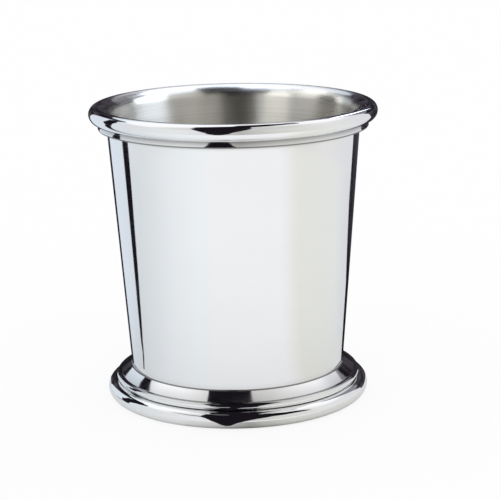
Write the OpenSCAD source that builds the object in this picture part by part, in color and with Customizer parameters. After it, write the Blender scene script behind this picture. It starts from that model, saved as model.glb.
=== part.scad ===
// Pewter julep cup. A tapered spun wall carries an applied lip and collar at the mouth and a foot
// that is built up from three rings. A floor disc is let into the lower end of the wall.
// Solder holds the rings and the floor. Nothing on the cup moves.
// The origin is the centre of the base on the table, and +Z runs up the axis of the cup.

/* [Wall and floor] */
// Height of the cup, from the table to the top of the lip
cup_h = 88; // [75:1:110]
// Outside diameter of the wall where it meets the collar
wall_top_d = 74.5; // [66:0.5:86]
// Outside diameter of the wall where it meets the foot
wall_foot_d = 64; // [56:0.5:72]
// Thickness of the wall
wall_t = 1.4; // [0.8:0.1:2.4]
// Thickness of the floor disc
floor_t = 1.6; // [1:0.1:3]

/* [Lip] */
// Height of the lip, whose outer edge is a half round of this diameter
lip_h = 4.8; // [3.8:0.1:6.4]
// How far the lip stands out past the top of the wall
lip_out = 5.25; // [4.2:0.05:6.4]
// Depth of the rebate that seats the lip over the top edge of the wall
lip_seat = 1; // [0.5:0.1:1.8]

/* [Collar] */
// Height of the collar under the lip
collar_h = 2; // [1.2:0.1:4]
// How far the collar's lower edge stands out past the top of the wall
collar_out = 2.7; // [1.4:0.05:3.6]
// How far the collar's face leans in from its lower edge to its top
collar_lean = 0.37; // [0:0.01:0.8]
// Depth of the hollow in the collar's face
collar_hollow = 0.09; // [0.03:0.01:0.25]

/* [Foot] */
// Height of the base ring, whose outer edge is a half round of this diameter
base_h = 4.9; // [4:0.1:7]
// How far the base ring stands out past the bottom of the wall
base_out = 7.3; // [6:0.1:10]
// Height of the reed, whose outer edge is a half round of this diameter
reed_h = 2.15; // [1.2:0.05:3]
// How far the reed stands out past the bottom of the wall
reed_out = 4.7; // [3.4:0.1:6]
// Height of the cove at the top of the foot
cove_h = 2.45; // [1.6:0.05:5]
// How far the cove's lower edge stands out past the bottom of the wall
cove_out = 3.2; // [1.6:0.1:4.4]
// Thickness of the cove's upper edge
cove_edge = 0.2; // [0.1:0.05:0.6]
// Depth of the hollow in the cove's face
cove_hollow = 0.03; // [0.02:0.01:0.4]

/* [Underside] */
// Height above the table of the ledge that the wall and the floor stand on
ledge_z = 2.6; // [1.6:0.1:3.4]
// Thickness of the ledge
ledge_t = 2; // [1:0.1:2.4]
// How far the ledge reaches in under the floor disc
ledge_w = 1.5; // [0.8:0.1:4]
// Width of the flat band that the cup stands on
stand_w = 3.8; // [1.5:0.1:4.6]

/* [Solder] */
// Thickness of the solder film between the wall and the rings
film_t = 0.15; // [0.08:0.01:0.3]
// Height of the small fillets where the film comes out under the collar and above the cove
seam_h = 0.35; // [0.2:0.05:0.8]
// Height and width of the solder fillet around the floor
floor_fillet = 1.2; // [0.6:0.1:3]

/* [Hidden] */
$fn = 180;

polished = [0.80, 0.80, 0.81];
satin = [0.66, 0.66, 0.65];
seam = [0.55, 0.55, 0.54];

// Heights of the rings, stacked up from the table and down from the lip
base_top = base_h;
reed_top = base_top + reed_h;
foot_top = reed_top + cove_h;
lip_bottom = cup_h - lip_h;
collar_bottom = lip_bottom - collar_h;
wall_top = lip_bottom + lip_seat;
floor_top = ledge_z + floor_t;

// The wall is a straight taper between the foot and the collar
taper = (wall_top_d - wall_foot_d) / 2 / (collar_bottom - foot_top);
lean = atan(taper);
wall_w = wall_t / cos(lean);
function outside_r(z) = wall_foot_d / 2 + (z - foot_top) * taper;
function inside_r(z) = outside_r(z) - wall_w;
function bore_r(z) = outside_r(z) + film_t;

// Half rounds on the outer edges of the lip, the reed and the base
lip_edge_r = lip_h / 2;
lip_centre = wall_top_d / 2 + lip_out - lip_edge_r;
reed_edge_r = reed_h / 2;
reed_centre = wall_foot_d / 2 + reed_out - reed_edge_r;
base_edge_r = base_h / 2;
base_centre = wall_foot_d / 2 + base_out - base_edge_r;

// The mouth flares on one arc, from the inner edge of the wall to the crown of the lip.
// Its radius is kept to a tenth of a micron, so that arc and lip meet at the same point.
micron_parts = 10000;
flare_w = lip_centre - inside_r(wall_top);
flare_h = cup_h - wall_top;
flare_exact = (flare_w * flare_w + flare_h * flare_h) / (2 * flare_h);
flare_r = round(flare_exact * micron_parts) / micron_parts;

// Corners of the two hollowed faces
collar_low = [wall_top_d / 2 + collar_out, collar_bottom];
collar_high = collar_low + [-collar_lean, collar_h];
cove_low = [wall_foot_d / 2 + cove_out, reed_top];
cove_high = [bore_r(foot_top) + cove_edge, foot_top];

// Underside of the base ring
ledge_under = ledge_z - ledge_t;
ledge_r = inside_r(ledge_z) - ledge_w;
stand_r = base_centre - stand_w;

// Ends and hollow of the solder fillet between the floor and the wall
fillet_low = [inside_r(floor_top) - floor_fillet, floor_top];
fillet_high = [inside_r(floor_top + floor_fillet), floor_top + floor_fillet];
fillet_hollow = floor_fillet / 5;

// Outer half of a round edge, from its centre line outward
module half_round(centre_r, low, r) {
    intersection() {
        translate([centre_r, low + r]) circle(r);
        translate([centre_r, low]) square([r, 2 * r]);
    }
}

// Circle that cuts a hollow of the given depth, from p to q, into the metal on the left of that line
module hollow(p, q, depth) {
    chord = norm(q - p);
    r = (chord * chord / 4 + depth * depth) / (2 * depth);
    outward = [q[1] - p[1], p[0] - q[0]] / chord;
    translate((p + q) / 2 + outward * (r - depth)) circle(r);
}

// Section of a ring whose hollow face runs from low up to high, and whose bore fits over the film
module hollow_faced(low, high, depth) {
    difference() {
        polygon([
            [bore_r(low[1]), low[1]],
            [low[0] + depth, low[1]],
            [high[0] + depth, high[1]],
            [bore_r(high[1]), high[1]]
        ]);
        hollow(low, high, depth);
    }
}

module cup_wall() {
    color(polished) rotate_extrude() polygon([
        [inside_r(ledge_z), ledge_z],
        [outside_r(ledge_z), ledge_z],
        [outside_r(wall_top), wall_top],
        [inside_r(wall_top), wall_top]
    ]);
}

module cup_floor() {
    color(satin) rotate_extrude() polygon([
        [0, ledge_z],
        [inside_r(ledge_z), ledge_z],
        [inside_r(floor_top), floor_top],
        [0, floor_top]
    ]);
}

module lip_ring() {
    color(polished) rotate_extrude() {
        translate([lip_centre, lip_bottom + lip_edge_r]) circle(lip_edge_r);
        intersection() {
            translate([lip_centre, cup_h - flare_r]) circle(flare_r);
            translate([lip_centre - flare_r, wall_top]) square([flare_r, flare_h]);
        }
        polygon([
            [bore_r(lip_bottom), lip_bottom],
            [lip_centre, lip_bottom],
            [lip_centre, wall_top],
            [bore_r(wall_top), wall_top]
        ]);
    }
}

module collar_ring() {
    color(polished) rotate_extrude() hollow_faced(collar_low, collar_high, collar_hollow);
}

module foot_cove() {
    color(polished) rotate_extrude() hollow_faced(cove_low, cove_high, cove_hollow);
}

module foot_reed() {
    color(polished) rotate_extrude() {
        half_round(reed_centre, base_top, reed_edge_r);
        polygon([
            [bore_r(base_top), base_top],
            [reed_centre, base_top],
            [reed_centre, reed_top],
            [bore_r(reed_top), reed_top]
        ]);
    }
}

module base_ring() {
    color(polished) rotate_extrude() {
        half_round(base_centre, 0, base_edge_r);
        polygon([
            [ledge_r, ledge_under],
            [stand_r, ledge_under],
            [stand_r, 0],
            [base_centre, 0],
            [base_centre, base_top],
            [bore_r(base_top), base_top],
            [bore_r(ledge_z), ledge_z],
            [ledge_r, ledge_z]
        ]);
    }
}

// Film behind the lip and the collar, with a fillet under the collar
module rim_solder() {
    color(seam) rotate_extrude() polygon([
        [outside_r(wall_top), wall_top],
        [outside_r(collar_bottom - seam_h), collar_bottom - seam_h],
        [bore_r(collar_bottom) + seam_h, collar_bottom],
        [bore_r(collar_bottom), collar_bottom],
        [bore_r(wall_top), wall_top]
    ]);
}

// Film behind the base, the reed and the cove, with a fillet above the cove
module foot_solder() {
    color(seam) rotate_extrude() polygon([
        [outside_r(ledge_z), ledge_z],
        [bore_r(ledge_z), ledge_z],
        [bore_r(foot_top), foot_top],
        cove_high,
        [outside_r(foot_top + seam_h), foot_top + seam_h]
    ]);
}

module floor_solder() {
    color(seam) rotate_extrude() difference() {
        polygon([
            fillet_low - [fillet_hollow, 0],
            [inside_r(floor_top), floor_top],
            fillet_high + [fillet_hollow * taper, fillet_hollow]
        ]);
        hollow(fillet_high, fillet_low, fillet_hollow);
    }
}

cup_wall();
cup_floor();
lip_ring();
collar_ring();
foot_cove();
foot_reed();
base_ring();
rim_solder();
foot_solder();
floor_solder();
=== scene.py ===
import math
from collections import namedtuple

import bpy
from mathutils import Matrix, Vector
from mathutils.geometry import tessellate_polygon


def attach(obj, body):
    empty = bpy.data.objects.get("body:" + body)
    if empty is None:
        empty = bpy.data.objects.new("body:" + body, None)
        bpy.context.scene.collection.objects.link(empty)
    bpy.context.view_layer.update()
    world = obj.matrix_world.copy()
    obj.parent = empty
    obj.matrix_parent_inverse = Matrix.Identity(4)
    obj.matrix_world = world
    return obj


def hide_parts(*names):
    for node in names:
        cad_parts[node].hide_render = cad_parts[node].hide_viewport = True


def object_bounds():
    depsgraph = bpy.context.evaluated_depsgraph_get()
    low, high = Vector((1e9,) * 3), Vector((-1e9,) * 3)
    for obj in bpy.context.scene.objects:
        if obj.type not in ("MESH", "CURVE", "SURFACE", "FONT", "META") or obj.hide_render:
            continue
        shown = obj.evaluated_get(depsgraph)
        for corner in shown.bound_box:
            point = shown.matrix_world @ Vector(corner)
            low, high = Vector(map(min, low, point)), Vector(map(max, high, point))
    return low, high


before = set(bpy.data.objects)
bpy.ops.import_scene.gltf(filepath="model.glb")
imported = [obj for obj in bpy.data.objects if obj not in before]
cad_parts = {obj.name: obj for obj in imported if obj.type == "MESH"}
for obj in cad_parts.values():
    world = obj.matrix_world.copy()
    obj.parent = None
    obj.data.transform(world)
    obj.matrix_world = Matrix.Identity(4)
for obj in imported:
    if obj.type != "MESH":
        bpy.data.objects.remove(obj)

# A pewter julep cup on a white table. The wall, the floor, each ring and each run of solder is a turned
# mesh that follows the section of its solid in the frame, with softened edges and exact normals.
# Lengths are in metres and angles in degrees, unless a name or a comment says otherwise.

MM = 0.001
cad_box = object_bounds()
cad_reach = min(abs(edge) for corner in cad_box for edge in corner[:2])


# Sections of the solids

SAME = 0.002 * MM


class Section:
    """Corners of a solid's section, as distances from the axis and heights, read from the frame.
    edge_r and edge_centre are those of a half-round outer edge that is as thick as the piece is high."""

    def __init__(self, node_name):
        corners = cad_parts[node_name].data.vertices
        self.points = [(math.hypot(v.co.x, v.co.y), v.co.z) for v in corners]
        self.low = min(z for r, z in self.points)
        self.high = max(z for r, z in self.points)
        self.inner = min(r for r, z in self.points)
        self.outer = max(r for r, z in self.points)
        self.edge_r = (self.high - self.low) / 2
        self.edge_centre = self.outer - self.edge_r

    def radii(self, height):
        """Least and greatest distance from the axis at a height where the section has corners."""
        found = [r for r, z in self.points if abs(z - height) < SAME]
        return min(found), max(found)

    def heights(self, radius):
        """Lowest and highest corner at a distance from the axis."""
        found = [z for r, z in self.points if abs(r - radius) < SAME]
        return min(found), max(found)


# Turned meshes

SEGMENTS = 240
ARC_STEP = math.radians(5)
LINE_STEP = 4 * MM
SOFT_STEPS = 6

# One corner of a section, which runs with the metal on its left. soft is how far back from the corner its
# edge is rounded. bulge is how far the stretch to the next corner swells out from a straight line, or in
# where it is negative. finish is the number of the material that this stretch takes.
Corner = namedtuple("Corner", "r z soft bulge finish", defaults=(0.0, 0.0, 0))

# A band between two rings of a mesh: the number of its first ring, the place and normal at its two edges,
# how far round the section they are, and the number of its material
Band = namedtuple("Band", "ring low high low_at high_at finish")

# A joint that shows as a line, with oxide and painted shade: where it is, how far they reach, and how dark
# they are
Joint = namedtuple("Joint", "r z reach depth")
OXIDE_AND_SHADE_FALL = 1.5


class Stretch:
    """A straight or round stretch of a section. at() gives a place along it and the normal there."""

    def __init__(self, start, end, bulge):
        self.start = Vector(start)
        self.end = Vector(end)
        self.chord = self.end - self.start
        self.outward = Vector((self.chord.y, -self.chord.x)).normalized()
        self.turn = 0.0
        self.length = self.chord.length
        if bulge:
            half = self.length / 2
            radius = (half * half + bulge * bulge) / (2 * abs(bulge))
            side = math.copysign(radius - abs(bulge), -bulge)
            self.centre = (self.start + self.end) / 2 + self.outward * side
            self.turn = math.copysign(4 * math.atan(abs(bulge) / half), bulge)
            self.length = radius * abs(self.turn)

    def at(self, share):
        if not self.turn:
            return self.start + self.chord * share, self.outward
        spoke = self.start - self.centre
        spoke.rotate(Matrix.Rotation(self.turn * share, 2))
        return self.centre + spoke, spoke.normalized() * math.copysign(1, self.turn)

    def steps(self):
        return max(1, math.ceil(abs(self.turn) / ARC_STEP), math.ceil(self.length / LINE_STEP))


def softened(before, corner, after):
    """Places and normals round a softened edge, between two stretches that were cut back from it."""
    run = []
    for i in range(SOFT_STEPS + 1):
        t = i / SOFT_STEPS
        place = before * (1 - t) ** 2 + corner * 2 * t * (1 - t) + after * t * t
        along = (corner - before) * (1 - t) + (after - corner) * t
        run.append((place, Vector((along.y, -along.x)).normalized()))
    return run


def outline(corners, closed):
    """Runs of (place, normal) round a section, each with its finish. Normals are smooth within a run."""
    count = len(corners)
    stretches = []
    for i in range(count if closed else count - 1):
        here, there = corners[i], corners[(i + 1) % count]
        stretches.append(Stretch((here.r, here.z), (there.r, there.z), here.bulge))
    runs = []
    for i, stretch in enumerate(stretches):
        here, there = corners[i], corners[(i + 1) % count]
        first = here.soft / stretch.length
        last = 1 - there.soft / stretch.length
        steps = stretch.steps()
        run = [stretch.at(first + (last - first) * k / steps) for k in range(steps + 1)]
        runs.append((run, here.finish))
        if there.soft:
            following = stretches[(i + 1) % len(stretches)]
            after = following.at(there.soft / following.length)[0]
            corner = Vector((there.r, there.z))
            runs.append((softened(run[-1][0], corner, after), here.finish))
    return runs


def banded(runs, closed):
    """Rings of a section, the bands between them, and the length round the section."""
    rings = []
    bands = []
    length = 0.0
    for run, finish in runs:
        for low, high in zip(run, run[1:]):
            step = (high[0] - low[0]).length
            bands.append(Band(len(rings), low, high, length, length + step, finish))
            rings.append(low[0])
            length += step
    if not closed:
        rings.append(runs[-1][0][-1][0])
    return rings, bands, length


def nearness(place, joint):
    """How much of a joint's oxide and painted shade there is at a place."""
    gap = (place - Vector((joint.r, joint.z))).length
    return joint.depth * max(0.0, 1 - gap / joint.reach) ** OXIDE_AND_SHADE_FALL


def placed(name, data):
    """New object in the scene that holds a mesh or a camera."""
    made = bpy.data.objects.new(name, data)
    bpy.context.scene.collection.objects.link(made)
    return made


def turned(name, corners, materials, joints=()):
    """Closed mesh of a section turned round the axis, with exact normals and an even map for baking.
    The attribute along is the length round the section. The attribute seam is the oxide and painted shade of
    the joints."""
    closed = corners[0].r > SAME
    rings, bands, length = banded(outline(corners, closed), closed)
    turns = [math.tau * (s + 0.5) / SEGMENTS for s in range(SEGMENTS)]
    places = []
    starts = []
    for ring in rings:
        starts.append(len(places))
        if ring.x < SAME:
            places.append((0, 0, ring.y))
        else:
            places.extend((ring.x * math.cos(t), ring.x * math.sin(t), ring.y) for t in turns)

    def vertex(ring, s):
        return starts[ring] + (0 if rings[ring].x < SAME else s % SEGMENTS)

    faces, finishes, normals, map_places, lengths, oxide_and_shade = [], [], [], [], [], []
    for band in bands:
        (low, low_normal), (high, high_normal) = band.low, band.high
        above = (band.ring + 1) % len(rings)
        for s in range(SEGMENTS):
            ends = [
                (band.ring, s, low, low_normal, band.low_at),
                (band.ring, s + 1, low, low_normal, band.low_at),
                (above, s + 1, high, high_normal, band.high_at),
                (above, s, high, high_normal, band.high_at),
            ]
            if low.x < SAME:
                ends.pop(1)
            elif high.x < SAME:
                ends.pop(2)
            faces.append([vertex(*end[:2]) for end in ends])
            finishes.append(band.finish)
            for ring, turn, place, normal, along in ends:
                angle = turns[turn % SEGMENTS]
                normals.append((normal.x * math.cos(angle), normal.x * math.sin(angle), normal.y))
                map_places.append((turn / SEGMENTS, along / length))
                lengths.append(along)
                oxide_and_shade.append(max((nearness(place, joint) for joint in joints), default=0.0))

    mesh = bpy.data.meshes.new(name)
    mesh.from_pydata(places, [], faces)
    mesh.polygons.foreach_set("use_smooth", [True] * len(faces))
    mesh.polygons.foreach_set("material_index", finishes)
    bake_map = mesh.uv_layers.new(name="OFBake")
    bake_map.uv.foreach_set("vector", [x for pair in map_places for x in pair])
    for title, values in (("along", lengths), ("seam", oxide_and_shade)):
        mesh.attributes.new(title, "FLOAT", "CORNER").data.foreach_set("value", values)
    for material in materials:
        mesh.materials.append(material)
    mesh.normals_split_custom_set(normals)
    return placed(name, mesh)


# Shader nodes

def node(tree, kind, inputs=None, **options):
    """New shader node. inputs holds values or sockets by the input's name or number."""
    made = tree.nodes.new("ShaderNode" + kind)
    for option, value in options.items():
        setattr(made, option, value)
    for key, value in (inputs or {}).items():
        if isinstance(value, bpy.types.NodeSocket):
            tree.links.new(value, made.inputs[key])
        else:
            made.inputs[key].default_value = value
    return made


def calc(tree, operation, *values):
    return node(tree, "Math", dict(enumerate(values)), operation=operation).outputs[0]


def weighted(tree, *terms):
    """Sum of two values, each times its weight."""
    return calc(tree, "ADD", *(calc(tree, "MULTIPLY", value, weight) for value, weight in terms))


def ramp(tree, value, low, high, to_low=0.0, to_high=1.0):
    """value from low to high mapped smoothly onto to_low to to_high."""
    inputs = {"Value": value, "From Min": low, "From Max": high, "To Min": to_low, "To Max": to_high}
    return node(tree, "MapRange", inputs, interpolation_type="SMOOTHSTEP").outputs["Result"]


def blend(tree, share, first, second):
    return node(tree, "Mix", {0: share, 6: first, 7: second}, data_type="RGBA").outputs[2]


def noise(tree, vector, scale=1.0, detail=2.0):
    return node(tree, "TexNoise", {"Vector": vector, "Scale": scale, "Detail": detail}).outputs["Fac"]


def stretched(tree, vector, scale, turn=(0, 0, 0)):
    inputs = {"Vector": vector, "Scale": scale, "Rotation": turn}
    return node(tree, "Mapping", inputs).outputs["Vector"]


def object_place(tree):
    return node(tree, "TexCoord").outputs["Object"]


def bumps(tree, height, strength, depth):
    inputs = {"Height": height, "Strength": strength, "Distance": depth}
    return node(tree, "Bump", inputs).outputs["Normal"]


def emission(tree, colour, strength=1.0):
    return node(tree, "Emission", {"Color": colour, "Strength": strength}).outputs["Emission"]


def new_material(name):
    material = bpy.data.materials.new(name)
    material.use_nodes = True
    material.node_tree.nodes.clear()
    material.cycles.emission_sampling = "NONE"
    return material, material.node_tree


def close(tree, shader):
    node(tree, "OutputMaterial", {"Surface": shader})


def metal(tree, tint, rough, normal, more=None):
    inputs = {"Base Color": tint, "Metallic": 1.0, "Roughness": rough, "Normal": normal}
    inputs.update(more or {})
    close(tree, node(tree, "BsdfPrincipled", inputs).outputs["BSDF"])


# Finishes of the metal

# Values that hold most of a noise, and its middle. The scale of a noise is in waves per metre.
NOISE_LOW = 0.3
NOISE_HIGH = 0.7
NOISE_MIDDLE = 0.5

POLISH_DIM = (0.885, 0.885, 0.89, 1)
POLISH_BRIGHT = (0.915, 0.915, 0.915, 1)
POLISH_ROUGH = (0.045, 0.075)
POLISH_CLOUD = 70.0
# Tint and share of the oxide and painted shade, in the joints and in the bands of painted shade
OXIDE_AND_SHADE = (0.16, 0.155, 0.15, 1)
OXIDE_AND_SHADE_SHARE = 0.9
BUFFING_SCALE = (35, 35, 1900)
BUFFING_RELIEF = 0.6

# Two sets of scratches: the scale of their noise along each axis, its turn in radians, and their width
SCRATCHES = [((60, 60, 900), (0.3, 0.1, 0.0), 0.006), ((500, 90, 60), (0.2, 0.7, 0.9), 0.005)]
SCRATCH_RELIEF = -0.5
SCRATCHED_SCALE = 45.0
SCRATCHED_FROM = 0.52
SCRATCHED_TO = 0.7
WORN_ROUGH = 0.05

SATIN_DIM = (0.72, 0.70, 0.65, 1)
SATIN_BRIGHT = (0.82, 0.80, 0.755, 1)
SATIN_ROUGH = (0.26, 0.36)
SATIN_CLOUD = 55.0
SATIN_LINES = (0.35, 0.65)
LINE_SHARE = 0.7
CLOUD_SHARE = 0.3
QUARTER_TURN = 0.25

# Two sets of turning lines: the scale of their noise across the cup and along its section, and their share
TURNING = [(12.0, 5200.0, 0.6), (5.0, 1500.0, 0.4)]

# The polished end of a satin face, with its roughness and relief as shares of the satin's
FLARE_TINT = (0.89, 0.89, 0.89, 1)
FLARE_ROUGH = 0.6
FLARE_RELIEF = 0.05

SOLDER_DIM = (0.22, 0.215, 0.21, 1)
SOLDER_BRIGHT = (0.36, 0.355, 0.345, 1)
SOLDER_ROUGH = (0.28, 0.45)
SOLDER_CLOUD = 160.0
SOLDER_GRAIN = 900.0

# A band of painted shade, which is also rougher: the height where it starts, the height where it is
# darkest, and how dark it is there
PaintedShadeBand = namedtuple("PaintedShadeBand", "clean dull most")


def hairlines(tree, vector, scale, turn, width):
    """Thin long scratches: the lines where a stretched noise crosses its middle value."""
    field = noise(tree, stretched(tree, vector, scale, turn))
    off = calc(tree, "ABSOLUTE", calc(tree, "SUBTRACT", field, NOISE_MIDDLE))
    return ramp(tree, off, 0.0, width, 1.0, 0.0)


def polished_pewter(name, zones=()):
    """Buffed to a mirror, with faint wheel marks and hairlines, oxide and painted shade in the joints, and
    painted shade in the given bands.
    """
    material, tree = new_material(name)
    place = object_place(tree)
    height = node(tree, "SeparateXYZ", {"Vector": place}).outputs["Z"]
    oxide_and_shade = node(tree, "Attribute", attribute_name="seam").outputs["Fac"]
    # Painted shade in the bands, on top of the joints' oxide and painted shade: it darkens the tint and adds
    # roughness
    for zone in zones:
        oxide_and_shade = calc(tree, "MAXIMUM", oxide_and_shade, ramp(tree, height, zone.clean, zone.dull, 0.0, zone.most))
    buffing = noise(tree, stretched(tree, place, BUFFING_SCALE), detail=3.0)
    cloud = noise(tree, place, POLISH_CLOUD)
    lines = calc(tree, "ADD", *(hairlines(tree, place, *marks) for marks in SCRATCHES))
    patches = noise(tree, place, SCRATCHED_SCALE, detail=1.0)
    scratched = ramp(tree, patches, SCRATCHED_FROM, SCRATCHED_TO)
    scratches = calc(tree, "MULTIPLY", lines, scratched)
    tint = blend(tree, cloud, POLISH_DIM, POLISH_BRIGHT)
    # Oxide and painted shade pull the tint towards the dark oxide colour
    tint = blend(tree, calc(tree, "MULTIPLY", oxide_and_shade, OXIDE_AND_SHADE_SHARE), tint, OXIDE_AND_SHADE)
    worn = weighted(tree, (scratches, WORN_ROUGH), (oxide_and_shade, WORN_ROUGH))
    rough = calc(tree, "ADD", ramp(tree, cloud, NOISE_LOW, NOISE_HIGH, *POLISH_ROUGH), worn)
    relief = weighted(tree, (buffing, BUFFING_RELIEF), (scratches, SCRATCH_RELIEF))
    metal(tree, tint, rough, bumps(tree, relief, strength=0.05, depth=0.004 * MM))
    return material


def satin_pewter(name, fade=None):
    """Left as turned: fine rings across the light, so that the highlight is drawn out down the wall.
    fade is the pair of heights between which the satin gives way to polish."""
    material, tree = new_material(name)
    place = object_place(tree)
    flat = node(tree, "SeparateXYZ", {"Vector": place})
    along = node(tree, "Attribute", attribute_name="along").outputs["Fac"]
    rings = []
    for across, down, share in TURNING:
        vector = node(tree, "CombineXYZ", {
            "X": calc(tree, "MULTIPLY", flat.outputs["X"], across),
            "Y": calc(tree, "MULTIPLY", flat.outputs["Y"], across),
            "Z": calc(tree, "MULTIPLY", along, down)})
        rings.append((noise(tree, vector.outputs["Vector"]), share))
    turning = weighted(tree, *rings)
    cloud = noise(tree, place, SATIN_CLOUD)
    mixed = weighted(tree, (turning, LINE_SHARE), (cloud, CLOUD_SHARE))
    tint = blend(tree, ramp(tree, turning, *SATIN_LINES), SATIN_DIM, SATIN_BRIGHT)
    rough = ramp(tree, mixed, NOISE_LOW, NOISE_HIGH, *SATIN_ROUGH)
    relief = turning
    if fade:
        height = flat.outputs["Z"]
        tint = blend(tree, ramp(tree, height, *fade), tint, FLARE_TINT)
        rough = calc(tree, "MULTIPLY", rough, ramp(tree, height, *fade, 1.0, FLARE_ROUGH))
        relief = calc(tree, "MULTIPLY", turning, ramp(tree, height, *fade, 1.0, FLARE_RELIEF))
    round_axis = node(tree, "Tangent", direction_type="RADIAL", axis="Z").outputs["Tangent"]
    drawn_out = {"Anisotropic": 1.0, "Anisotropic Rotation": QUARTER_TURN, "Tangent": round_axis}
    metal(tree, tint, rough, bumps(tree, relief, strength=0.35, depth=0.03 * MM), drawn_out)
    return material


def solder():
    """Tin solder, wiped while soft: duller and darker than the pewter, and slightly uneven."""
    material, tree = new_material("solder")
    place = object_place(tree)
    grain = noise(tree, place, SOLDER_GRAIN, detail=3.0)
    cloud = noise(tree, place, SOLDER_CLOUD)
    tint = blend(tree, cloud, SOLDER_DIM, SOLDER_BRIGHT)
    rough = ramp(tree, cloud, NOISE_LOW, NOISE_HIGH, *SOLDER_ROUGH)
    metal(tree, tint, rough, bumps(tree, grain, strength=0.25, depth=0.02 * MM))
    return material


# The pieces

BASE_EDGE = 0.22 * MM
COLLAR_LOW_EDGE = 0.45 * MM
FINE_EDGE = 0.12 * MM
THIN_EDGE = 0.06 * MM
COLLAR_HOLLOW = 0.09 * MM
COVE_HOLLOW = 0.03 * MM
SEAM_HOLLOW = 0.07 * MM
FLOOR_SEAM_HOLLOW = 0.24 * MM
COVE_JOINT_OUT = 0.5 * MM

# Heights above the wall's top edge between which the mouth goes from satin to polish
SATIN_TO = 1.0 * MM
POLISH_FROM = 3.7 * MM

# Number of a piece's second material
SECOND = 1

wall = Section("cup_wall")
disc = Section("cup_floor")
lip = Section("lip_ring")
collar = Section("collar_ring")
cove = Section("foot_cove")
reed = Section("foot_reed")
base = Section("base_ring")
rim_film = Section("rim_solder")
foot_film = Section("foot_solder")
floor_film = Section("floor_solder")

MIRROR = polished_pewter("polished_pewter")
# The wall has painted shade, and more roughness, in a band under the collar and in a band above the foot
WALL = polished_pewter("wall_pewter", [
    PaintedShadeBand(clean=collar.low - 1.2 * MM, dull=collar.low - 0.25 * MM, most=0.35),
    PaintedShadeBand(clean=cove.high + 2.0 * MM, dull=cove.high + 0.4 * MM, most=0.12),
])
BRUSHED = satin_pewter("satin_pewter")
MOUTH = satin_pewter("mouth_pewter", fade=(wall.high + SATIN_TO, wall.high + POLISH_FROM))
DULL = solder()

# Joints and edges of the rings: oxide that the buffing wheel does not clean, and painted shade
JOINTS = [
    Joint(collar.radii(collar.high)[1], collar.high, reach=2.1 * MM, depth=0.9),
    Joint(collar.radii(collar.low)[0], collar.low, reach=0.95 * MM, depth=1.0),
    Joint(collar.radii(collar.low)[1], collar.low, reach=0.7 * MM, depth=0.3),
    Joint(cove.radii(cove.low)[1] + COVE_JOINT_OUT, cove.low, reach=1.4 * MM, depth=0.85),
    Joint(reed.edge_centre, reed.low, reach=1.15 * MM, depth=0.4),
]


def add(piece, node_name):
    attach(piece, "root")
    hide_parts(node_name)


def make_wall():
    inner_low, outer_low = wall.radii(wall.low)
    inner_high, outer_high = wall.radii(wall.high)
    corners = [
        Corner(inner_low, wall.low),
        Corner(outer_low, wall.low),
        Corner(outer_high, wall.high),
        Corner(inner_high, wall.high, finish=SECOND),
    ]
    add(turned("wall", corners, [WALL, BRUSHED]), "cup_wall")


def make_floor():
    corners = [
        Corner(0, disc.low),
        Corner(disc.radii(disc.low)[1], disc.low),
        Corner(disc.radii(disc.high)[1], disc.high),
        Corner(0, disc.high),
    ]
    add(turned("floor_disc", corners, [BRUSHED]), "cup_floor")


def make_lip():
    """Half-round outside, and inside one arc that flares from the wall's inner edge to the crown."""
    crown = min(lip.outer, cad_reach) - lip.edge_r
    mouth = wall.radii(wall.high)[0]
    across, down = crown - mouth, lip.high - wall.high
    flare_r = (across * across + down * down) / (2 * down)
    half = math.hypot(across, down) / 2
    swell = flare_r - math.sqrt(flare_r * flare_r - half * half)
    corners = [
        Corner(lip.radii(lip.low)[0], lip.low),
        Corner(crown, lip.low, bulge=lip.edge_r),
        Corner(crown, lip.high, bulge=swell, finish=SECOND),
        Corner(mouth, wall.high),
        Corner(lip.radii(wall.high)[1], wall.high),
    ]
    add(turned("lip", corners, [MIRROR, MOUTH], JOINTS), "lip_ring")


def hollow_faced(section, hollow, low_edge, high_edge, underside=0):
    """Ring whose outer face is hollowed between its lower and its upper edge."""
    inner_low, outer_low = section.radii(section.low)
    inner_high, outer_high = section.radii(section.high)
    return [
        Corner(inner_low, section.low, finish=underside),
        Corner(outer_low, section.low, soft=low_edge, bulge=-hollow),
        Corner(outer_high, section.high, soft=high_edge),
        Corner(inner_high, section.high),
    ]


def make_collar():
    corners = hollow_faced(collar, COLLAR_HOLLOW, COLLAR_LOW_EDGE, FINE_EDGE, underside=SECOND)
    add(turned("collar", corners, [MIRROR, DULL], JOINTS), "collar_ring")


def make_cove():
    corners = hollow_faced(cove, COVE_HOLLOW, FINE_EDGE, THIN_EDGE)
    add(turned("cove", corners, [MIRROR], JOINTS), "foot_cove")


def make_reed():
    corners = [
        Corner(reed.radii(reed.low)[0], reed.low),
        Corner(reed.edge_centre, reed.low, bulge=reed.edge_r),
        Corner(reed.edge_centre, reed.high),
        Corner(reed.radii(reed.high)[0], reed.high),
    ]
    add(turned("reed", corners, [MIRROR], JOINTS), "foot_reed")


def make_base():
    ledge_low, ledge_high = base.heights(base.inner)
    stand = base.radii(base.low)[0]
    corners = [
        Corner(base.inner, ledge_low, soft=BASE_EDGE),
        Corner(stand, ledge_low),
        Corner(stand, base.low, soft=BASE_EDGE),
        Corner(base.edge_centre, base.low, bulge=base.edge_r),
        Corner(base.edge_centre, base.high),
        Corner(base.radii(base.high)[0], base.high),
        Corner(base.radii(ledge_high)[1], ledge_high),
        Corner(base.inner, ledge_high),
    ]
    add(turned("base", corners, [MIRROR], JOINTS), "base_ring")


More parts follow.
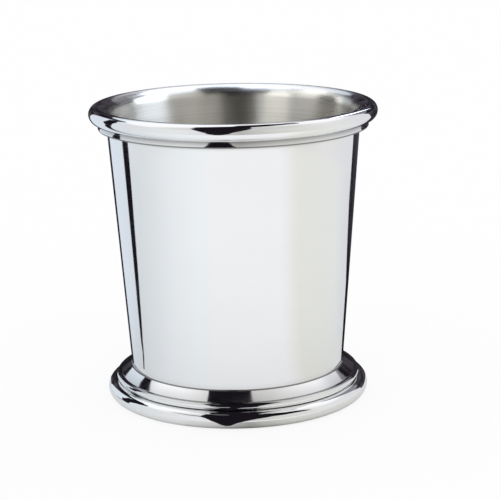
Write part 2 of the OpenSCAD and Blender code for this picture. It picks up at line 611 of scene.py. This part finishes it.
def make_rim_seam():
    under = collar.low
    corners = [
        Corner(rim_film.radii(rim_film.high)[0], rim_film.high),
        Corner(rim_film.radii(rim_film.low)[0], rim_film.low, bulge=-SEAM_HOLLOW),
        Corner(rim_film.radii(under)[1], under),
        Corner(collar.radii(under)[0], under),
        Corner(rim_film.radii(rim_film.high)[1], rim_film.high),
    ]
    add(turned("rim_seam", corners, [DULL]), "rim_solder")


def make_foot_seam():
    over = cove.high
    corners = [
        Corner(foot_film.radii(foot_film.low)[0], foot_film.low),
        Corner(foot_film.radii(foot_film.low)[1], foot_film.low),
        Corner(cove.radii(over)[0], over),
        Corner(foot_film.radii(over)[1], over, bulge=-SEAM_HOLLOW),
        Corner(foot_film.radii(foot_film.high)[0], foot_film.high),
    ]
    add(turned("foot_seam", corners, [DULL]), "foot_solder")


def make_floor_seam():
    inner_low, outer_low = floor_film.radii(floor_film.low)
    corners = [
        Corner(inner_low, floor_film.low),
        Corner(outer_low, floor_film.low),
        Corner(floor_film.radii(floor_film.high)[1], floor_film.high, bulge=-FLOOR_SEAM_HOLLOW),
    ]
    add(turned("floor_seam", corners, [DULL]), "floor_solder")


make_wall()
make_floor()
make_lip()
make_collar()
make_cove()
make_reed()
make_base()
make_rim_seam()
make_foot_seam()
make_floor_seam()


# The studio: a white table and white walls, with cards that only the metal shows

TABLE_R = 6.0
TABLE_DROP = 0.02 * MM
TABLE_TURNS = 96
DOME_R = 1.6
CARD_LIFT = 0.05 * MM

DARK = (0.010, 0.008, 0.012, 1)
DUSK = (0.075, 0.066, 0.082, 1)
PALE = (0.76, 0.76, 0.75, 1)
HAZE = (0.25, 0.25, 0.28, 1)
COOL = (0.90, 0.99, 1.14, 1)
WARM = (1.0, 1.0, 0.98, 1)
WHITE = (1, 1, 1, 1)

# Where an unlit part of the room has some light: the scale of a noise, and the values it fades between
DUSK_SCALE = (3.0, 3.0, 5.0)
DUSK_RANGE = (0.38, 0.66)

# Cards on a dome round the cup, as corners (azimuth, elevation). Here and below, azimuth 0 is towards the
# camera and 90 to its right.
DOME_CARDS = {
    "front_gap": [
        (-20, -4), (-20.5, 5), (-22, 15), (-28, 30), (-36, 45), (-50, 60), (-64, 70), (-95, 75), (180, 77),
        (178, 62), (168, 57), (150, 59.5), (130, 62.5), (119, 65), (117, 69), (110, 72), (95, 75),
        (78, 77.5), (62, 79), (50, 80), (40, 78), (32, 74.5), (26, 68), (20, 60), (15, 50), (9, 40),
        (4.5, 30), (-1, 15), (-2.5, 5), (-3, -4)],
    "left_gap": [
        (-109, -4), (-108, 4), (-109, 15), (-110.5, 25), (-115, 32), (-122, 36), (-122, 44), (-128, 43),
        (-131, 36), (-131, 30), (-126, 27), (-122.5, 20), (-122.5, 12), (-119.5, 3), (-117, -4)],
    "right_haze": [(134, 21), (137, 34), (146, 45), (160, 46), (170, 40), (172, 27), (150, 24)],
    "back_gap": [
        (135, -4), (134, 10), (133, 21), (150, 24), (165, 26), (180, 26), (-165, 28), (-152, 34),
        (-140, 40), (-130, 44), (-125, 42), (-131, 36), (-138, 31), (-144, 23.5), (-147, 17), (-150, 8),
        (-152, -4), (180, -4)],
}

# Panels hung close to the mouth, with corners (x, y, z) in mm. A panel shows only from its front, from
# where its corners run anticlockwise, and is clear from behind.
Panel = namedtuple("Panel", "colour strength corners")
PANELS = {
    "right_panel": Panel(COOL, 5.0, [(46, 3, 100), (47, 10, 131), (62, 63, 150), (70, 58, 109)]),
    "left_panel": Panel(WARM, 3.0, [
        (-23.8, -21.7, 97.5), (-37.4, -4.9, 97.5), (-40.2, -0.5, 123), (-26.7, -19.9, 124)]),
    "left_shade": Panel(DARK, 1.0, [(-38, 27.5, 88), (-100, 69, 95), (-100, 69, 335), (-38, 27.5, 220)]),
    "right_shade": Panel(DARK, 1.0, [(45, 50.5, 90), (45, 50.5, 220), (44, 88, 250), (44, 88, 92)]),
    "left_glow": Panel(WARM, 1.8, [(-36, 56, 93), (-37, 72, 93), (-37, 72, 145), (-36, 56, 145)]),
    "right_sky": Panel(COOL, 1.6, [
        (-3, 60, 146.3), (2, 130, 199.7), (12, 130, 189.7), (7, 60, 136.3), (5, 27, 110.8),
        (-2, 28, 118.7)]),
    "left_sky": Panel(WARM, 1.5, [
        (-2, 32, 118), (-11.5, 15.5, 94.75), (-13.5, 28, 103.2), (-9, 54, 129.3), (-3, 60, 140.3)]),
    "mouth_shade": Panel(DARK, 1.0, [
        (-6, 30, 88.5), (-6, 30, 98), (-3.5, 30, 102), (-3.5, 30, 104), (3.5, 30, 104), (6, 30, 102),
        (7.5, 30, 98), (7.5, 30, 88.5)]),
    "crown_shade": Panel(DARK, 1.0, [
        (-7.5, 38, 104), (-4, 41, 104), (1, 39, 104), (2.5, 30, 104), (-3.5, 30, 104)]),
    "front_shade": Panel(DARK, 1.0, [(-6, -37, 88.5), (-6, -37, 135), (11, -37, 135), (11, -37, 88.5)]),
}

# Cards on low cones in front of the foot, with corners (azimuth, distance from the axis in mm). slope is
# the cone's, and meets is the distance in mm at which it comes down to the table. The cards are dark from
# below, where only the foot sees them, and pale from above.
Slope = namedtuple("Slope", "slope meets corners")
SLOPE_CARDS = {
    "foot_shade": Slope(0.5, 51.2, [
        (-33, 39.7), (-27, 39.75), (-22, 40.15), (-17.5, 40.3), (-15, 41.4), (-13.6, 43.1), (-12.9, 48.4),
        (-12.8, 51.1), (-6, 51.1), (1.5, 51.1), (2.2, 48), (3.6, 45.3), (5.4, 43.4), (7.9, 42.2),
        (11.7, 41.3), (13.5, 40.9), (11, 39.9), (9.2, 39), (8.8, 38.3), (10.5, 37.7), (13.5, 37.2),
        (16.5, 36.9), (21, 36.6), (16, 36.35), (-9, 36.35), (-12.5, 37.2), (-13.5, 38.2), (-4.5, 38.2),
        (-3.8, 39), (-4.5, 39.9), (-8, 40), (-16, 39.9), (-22, 39.85), (-27, 39.5)]),
    "tail_shade": Slope(0.333, 53.5, [
        (7, 41.3), (12.5, 40.3), (15.2, 39.95), (20.4, 39.85), (24.4, 39.7), (29.4, 39.75), (33.9, 39.85),
        (31.7, 39.4), (29.4, 39.1), (24.5, 38.75), (20.4, 38.7), (15.2, 38.5), (7, 38.5)]),
    "hook_shade": Slope(0.333, 53.5, [
        (-58.5, 40.5), (-55.6, 40.2), (-52.1, 39.6), (-49.1, 39.4), (-46.3, 39.2), (-43.7, 39),
        (-43.9, 38.65), (-46.6, 38.5), (-49.6, 38.2), (-52.7, 38.1), (-55.4, 38.7), (-58, 38.8)]),
}

# Cards on the table, with corners (azimuth, distance from the axis in mm)
TABLE_CARDS = {
    "front_far_gap": [(-13, 320), (-20, 1500), (-3, 1500), (-9, 320)],
    # Painted shadow: a dark card for the cup's shadow on the table just in front of the foot, which only
    # reflections show
    "front_near_shadow": [
        (-6, 39.6), (-7.4, 40.2), (-9, 41.6), (-11.3, 46), (-12.8, 51.2), (-6, 51.5), (1.5, 51.2),
        (0.3, 46.5), (-1.7, 42), (-2.9, 40.3), (-4.2, 39.6)],
    "left_far_gap": [
        (-91.6, 52.2), (-94.8, 58.5), (-97.4, 66), (-102, 76), (-109, 115), (-114, 200), (-116.5, 340),
        (-117, 1500), (-109, 1500), (-106.5, 340), (-105.8, 200), (-103, 115), (-98.3, 76.7), (-95, 66),
        (-92.4, 58.5), (-89.8, 52.2)],
    "back_far_gap": [
        (113, 46.6), (128, 75), (137, 130), (134, 250), (136, 360), (135, 1500), (180, 1500), (-153, 1500),
        (-150, 360), (-145, 167), (-133, 81), (-113, 46.6), (-129, 42.5), (180, 45), (129, 42.5)],
}

# Colours that reflections find, by azimuth: on the table, as painted light and shade; on the walls and the
# table's far part; on the walls higher up; and on the table close to the foot, as the cup's painted shadow
TABLE_TINTS = [
    (-127, (0.75, 0.82, 0.90)), (-98, (0.74, 0.78, 0.81)), (-76, (0.80, 0.84, 0.86)),
    (-57, (0.88, 0.91, 0.94)), (-33, (0.93, 0.97, 0.99)), (-18, (0.96, 0.97, 0.985)),
    (39, (0.96, 0.97, 0.985)), (48, (0.92, 0.92, 0.905)), (57, (0.853, 0.862, 0.81)),
    (105, (0.837, 0.853, 0.845)), (127, (0.76, 0.77, 0.81))]
WALL_TINTS = [
    (-130, (0.75, 0.82, 0.90)), (-88, (0.78, 0.80, 0.82)), (-67, (0.82, 0.84, 0.85)),
    (-42, (0.86, 0.88, 0.89)), (-22, (0.80, 0.81, 0.82)), (5, (0.50, 0.50, 0.49)),
    (15, (0.58, 0.58, 0.56)), (34, (0.70, 0.70, 0.67)), (54, (0.75, 0.75, 0.725)),
    (82, (0.84, 0.84, 0.83)), (127, (0.78, 0.79, 0.82))]
UPPER_TINTS = [
    (-130, (0.96, 0.97, 1.0)), (-96, (0.94, 0.95, 0.96)), (-80, (0.83, 0.83, 0.83)),
    (-70, (0.72, 0.72, 0.72)), (-45, (0.66, 0.66, 0.66)), (-22, (0.64, 0.64, 0.64)),
    (5, (0.54, 0.54, 0.54)), (27, (0.56, 0.56, 0.55)), (60, (0.62, 0.62, 0.61)),
    (76, (0.68, 0.68, 0.67)), (90, (0.80, 0.80, 0.80)), (110, (0.92, 0.92, 0.94)),
    (127, (0.96, 0.97, 1.0))]
# The cup's painted shadow on the table close to the foot, darkest in front of it
FOOT_SHADOW_TINTS = [
    (-127, (0.78, 0.82, 0.86)), (-30, (0.96, 0.97, 0.97)), (-10, (0.80, 0.80, 0.79)),
    (5, (0.46, 0.46, 0.45)), (12, (0.64, 0.64, 0.61)), (24, (0.80, 0.80, 0.77)),
    (40, (0.86, 0.86, 0.84)), (90, (0.86, 0.86, 0.85)), (127, (0.76, 0.77, 0.79))]

# Distances between which the table's tints change, out from the foot
NEAR_TO = 52.5 * MM
NEAR_FROM = 0.92 * NEAR_TO
WALLS_FROM = 280 * MM
WALLS_TO = 1.07 * WALLS_FROM

# Elevations between which the walls' tints change, and heights, on a ray of length 1, between which the
# walls pass into the ground
UPPER_FROM = 32
UPPER_TO = 46
UPPER_LEVEL = 1.12
GROUND_FROM = -0.1
GROUND_TO = -0.5

# The table's white, which varies a little, and the share of plain white light that the camera sees in it
SPECKLE_SCALE = 30.0
TABLE_WHITE = (0.955, 0.965)
CAMERA_GLOW = 0.85


def heading(azimuth):
    return Vector((math.sin(math.radians(azimuth)), -math.cos(math.radians(azimuth)), 0))


def lifted(height):
    return Vector((0, 0, height))


def plain_light(name, colour):
    material, tree = new_material(name)
    close(tree, emission(tree, colour))
    return material


def dim_room(name):
    """Unlit part of the room, with a little more light in some places than in others."""
    material, tree = new_material(name)
    patches = noise(tree, stretched(tree, object_place(tree), DUSK_SCALE))
    lit = ramp(tree, patches, *DUSK_RANGE)
    close(tree, emission(tree, blend(tree, lit, DARK, DUSK)))
    return material


def faced_light(name, colour, strength, behind=None):
    """Light that shines from the front of its faces. From behind it has the colour behind, or is clear."""
    material, tree = new_material(name)
    front = emission(tree, colour, strength)
    back = emission(tree, behind) if behind else node(tree, "BsdfTransparent").outputs["BSDF"]
    side = node(tree, "NewGeometry").outputs["Backfacing"]
    close(tree, node(tree, "MixShader", {0: side, 1: front, 2: back}).outputs["Shader"])
    return material


def card(name, light, places, flat=None):
    """Card that only reflections show. flat is the outline of a bent card, laid out in a plane."""
    faces = [tuple(range(len(places)))]
    if flat:
        faces = [tuple(face) for face in tessellate_polygon([flat])]
    mesh = bpy.data.meshes.new(name)
    mesh.from_pydata(places, [], faces)
    mesh.materials.append(light)
    made = placed(name, mesh)
    for ray in ("camera", "diffuse", "transmission", "volume_scatter", "shadow"):
        setattr(made, "visible_" + ray, False)


def dome_place(azimuth, elevation):
    e = math.radians(elevation)
    return (heading(azimuth) * math.cos(e) + lifted(math.sin(e))) * DOME_R


def hang_cards():
    # Dark for the gaps in the room, and for the painted shadow in front of the foot
    dark = plain_light("dark_gaps_and_shadow", DARK)
    dusk = dim_room("dusk_gap")
    lights = {"back_gap": dusk, "back_far_gap": dusk, "right_haze": plain_light("haze_gap", HAZE)}
    for name, corners in DOME_CARDS.items():
        flat = [heading(azimuth) * (90 - elevation) for azimuth, elevation in corners]
        card(name, lights.get(name, dark), [dome_place(*corner) for corner in corners], flat)
    for name, panel in PANELS.items():
        light = faced_light(name, panel.colour, panel.strength)
        card(name, light, [Vector(corner) * MM for corner in panel.corners])
    for name, cone in SLOPE_CARDS.items():
        flat = [heading(azimuth) * distance * MM for azimuth, distance in cone.corners]
        lifts = [lifted(cone.slope * (cone.meets - distance) * MM) for azimuth, distance in cone.corners]
        light = faced_light(name, PALE, 1.0, behind=DARK)
        card(name, light, [place + lift for place, lift in zip(flat, lifts)], flat)
    for name, corners in TABLE_CARDS.items():
        flat = [heading(azimuth) * distance * MM for azimuth, distance in corners]
        card(name, lights.get(name, dark), [place + lifted(CARD_LIFT) for place in flat], flat)


def tint_by_azimuth(tree, vector, tints):
    """Colour found in the direction of a place, or of a ray, round the cup."""
    parts = node(tree, "SeparateXYZ", {"Vector": vector})
    turn = calc(tree, "ARCTAN2", parts.outputs["X"], calc(tree, "MULTIPLY", parts.outputs["Y"], -1.0))
    share = calc(tree, "ADD", calc(tree, "DIVIDE", turn, math.tau), 0.5)
    made = node(tree, "ValToRGB", {"Fac": share})
    stops = made.color_ramp.elements
    while len(stops) < len(tints):
        stops.new(1.0)
    for stop, (azimuth, colour) in zip(stops, tints):
        stop.position = azimuth / 360 + 0.5
        stop.color = (*colour, 1)
    return made.outputs["Color"]


def table_tint(tree, place):
    """Colour of the table in reflections: the cup's painted shadow near the foot, painted light and shade
    further out, and where it passes into the walls.
    """
    distance = node(tree, "VectorMath", {0: place}, operation="LENGTH").outputs["Value"]
    near = ramp(tree, distance, NEAR_FROM, NEAR_TO, 1.0, 0.0)
    far = ramp(tree, distance, WALLS_FROM, WALLS_TO)
    tint = blend(tree, far, tint_by_azimuth(tree, place, TABLE_TINTS),
                 tint_by_azimuth(tree, place, WALL_TINTS))
    return blend(tree, near, tint, tint_by_azimuth(tree, place, FOOT_SHADOW_TINTS))


def table_surface():
    """White table: the camera sees it lightened, with the cup's shadow kept, and through it from below."""
    material, tree = new_material("table")
    rays = node(tree, "LightPath").outputs
    place = object_place(tree)
    speckle = ramp(tree, noise(tree, place, SPECKLE_SCALE), NOISE_LOW, NOISE_HIGH, *TABLE_WHITE)
    white = node(tree, "CombineColor", {"Red": speckle, "Green": speckle, "Blue": speckle})
    colour = blend(tree, rays["Is Glossy Ray"], white.outputs["Color"], table_tint(tree, place))
    matt = node(tree, "BsdfDiffuse", {"Color": colour}).outputs["BSDF"]
    share = calc(tree, "MULTIPLY", rays["Is Camera Ray"], CAMERA_GLOW)
    seen = node(tree, "MixShader", {0: share, 1: matt, 2: emission(tree, WHITE)}).outputs["Shader"]
    below = node(tree, "NewGeometry").outputs["Backfacing"]
    clear = node(tree, "BsdfTransparent").outputs["BSDF"]
    close(tree, node(tree, "MixShader", {0: below, 1: seen, 2: clear}).outputs["Shader"])
    return material


def lay_table():
    """Round table, open under the middle of the cup, so that light reaches the underside."""
    hole = base.radii(base.low)[1]
    turns = [math.tau * s / TABLE_TURNS for s in range(TABLE_TURNS)]
    places = [(r * math.cos(t), r * math.sin(t), -TABLE_DROP) for r in (hole, TABLE_R) for t in turns]
    faces = []
    for s in range(TABLE_TURNS):
        following = (s + 1) % TABLE_TURNS
        faces.append((s, TABLE_TURNS + s, TABLE_TURNS + following, following))
    mesh = bpy.data.meshes.new("table")
    mesh.from_pydata(places, [], faces)
    mesh.materials.append(table_surface())
    placed("table", mesh)


def light_room():
    """White room. Reflections find tinted walls, with other tints from half way up, and pale ground."""
    world = bpy.data.worlds.new("white_room")
    bpy.context.scene.world = world
    world.use_nodes = True
    world.cycles.sampling_method = "NONE"
    tree = world.node_tree
    ray = node(tree, "TexCoord").outputs["Generated"]
    height = node(tree, "SeparateXYZ", {"Vector": ray}).outputs["Z"]
    upper_ends = [math.sin(math.radians(elevation)) for elevation in (UPPER_FROM, UPPER_TO)]
    upper = ramp(tree, height, *upper_ends)
    upper_tint = {0: tint_by_azimuth(tree, ray, UPPER_TINTS), "Scale": UPPER_LEVEL}
    sky = node(tree, "VectorMath", upper_tint, operation="SCALE").outputs["Vector"]
    walls = blend(tree, upper, tint_by_azimuth(tree, ray, WALL_TINTS), sky)
    walls = blend(tree, ramp(tree, height, GROUND_FROM, GROUND_TO), walls, PALE)
    glossy = node(tree, "LightPath").outputs["Is Glossy Ray"]
    tree.links.new(blend(tree, glossy, WHITE, walls), tree.nodes["Background"].inputs["Color"])


hang_cards()
lay_table()
light_room()


# The camera, placed as the photograph was taken

CAMERA_BACK = 495.8 * MM
CAMERA_HEIGHT = 162.9 * MM
CAMERA_YAW = 0.497
CAMERA_PITCH = 13.569
CAMERA_ROLL = -0.954
LENS_MM = 122.4
SENSOR_MM = 36.0


def place_camera():
    yaw, pitch, roll = (math.radians(angle) for angle in (CAMERA_YAW, CAMERA_PITCH, CAMERA_ROLL))
    ahead = Vector((math.sin(yaw) * math.cos(pitch), math.cos(yaw) * math.cos(pitch), -math.sin(pitch)))
    right = Vector((math.cos(yaw), -math.sin(yaw), 0))
    up = right.cross(ahead)
    tilted_right = right * math.cos(roll) + up * math.sin(roll)
    tilted_up = up * math.cos(roll) - right * math.sin(roll)
    data = bpy.data.cameras.new("camera")
    data.lens = LENS_MM
    data.sensor_width = SENSOR_MM
    data.sensor_fit = "HORIZONTAL"
    camera = placed("camera", data)
    axes = Matrix((tilted_right, tilted_up, -ahead)).transposed()
    camera.matrix_world = Matrix.Translation((0, -CAMERA_BACK, CAMERA_HEIGHT)) @ axes.to_4x4()
    bpy.context.scene.camera = camera


place_camera()
bpy.context.scene.view_settings.view_transform = "Standard"
